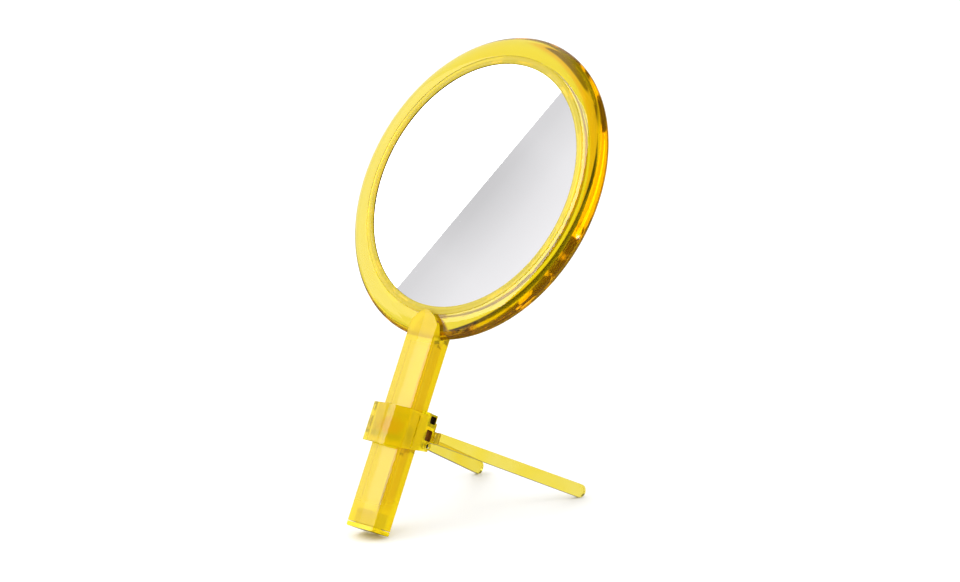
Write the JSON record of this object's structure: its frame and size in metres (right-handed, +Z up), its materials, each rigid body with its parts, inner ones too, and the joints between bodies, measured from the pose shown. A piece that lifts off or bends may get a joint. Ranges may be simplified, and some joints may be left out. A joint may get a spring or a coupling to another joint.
{
  "type": "hand mirror with folding stand",
  "caption": "Round double-sided hand mirror in transparent yellow plastic, with a faceted handle, a sliding collar and a fold-out two-legged stand.",
  "frame": {"origin": "centre of the standing mirror's footprint box, on the table plane", "axes": "+Z up, +X to the mirror's right as seen by someone facing the plain glass, +Y towards the stand's legs and the back of the mirror; the plain glass faces -Y and tilts up"},
  "size_m": [0.16, 0.125, 0.2322],
  "materials": {
    "clear_yellow_ring": "transparent, polished",
    "clear_yellow_front_bezel": "transparent, polished",
    "clear_yellow_rear_bezel": "transparent, polished",
    "mirror_glass_front": "silvered plain glass",
    "mirror_glass_rear": "silvered concave glass",
    "white_foam": "matt foam sheet",
    "clear_yellow_handle": "transparent, polished",
    "clear_yellow_plug": "transparent, polished",
    "clear_yellow_collar": "transparent, moulded",
    "clear_yellow_yoke": "transparent, moulded",
    "pin_steel": "ground pin",
    "clear_yellow_leg_left": "transparent, moulded",
    "clear_yellow_leg_right": "transparent, moulded"
  },
  "bodies": {
    "mirror": {"ring_frame": "clear_yellow_ring", "front_bezel": "clear_yellow_front_bezel", "rear_bezel": "clear_yellow_rear_bezel", "front_mirror_glass": "mirror_glass_front", "rear_magnifying_glass": "mirror_glass_rear", "backing_pad": "white_foam", "handle_body": "clear_yellow_handle", "handle_end_plug": "clear_yellow_plug"},
    "collar": {"collar_body": "clear_yellow_collar", "hinge_pin": "pin_steel"},
    "stand": {"stand_yoke": "clear_yellow_yoke", "stand_leg_left": "clear_yellow_leg_left", "stand_leg_right": "clear_yellow_leg_right"}
  },
  "joints": [
    {"name": "collar_slide", "type": "slide", "parent": "mirror", "child": "collar", "axis": [0, 0.4576, 0.8891], "range_m": [-0.04, 0.034]},
    {"name": "stand_fold", "type": "hinge", "parent": "collar", "child": "stand", "pos_m": [0, -0.02649, 0.04069], "axis": [-1, 0, 0], "range_deg": [0, 90]}
  ]
}
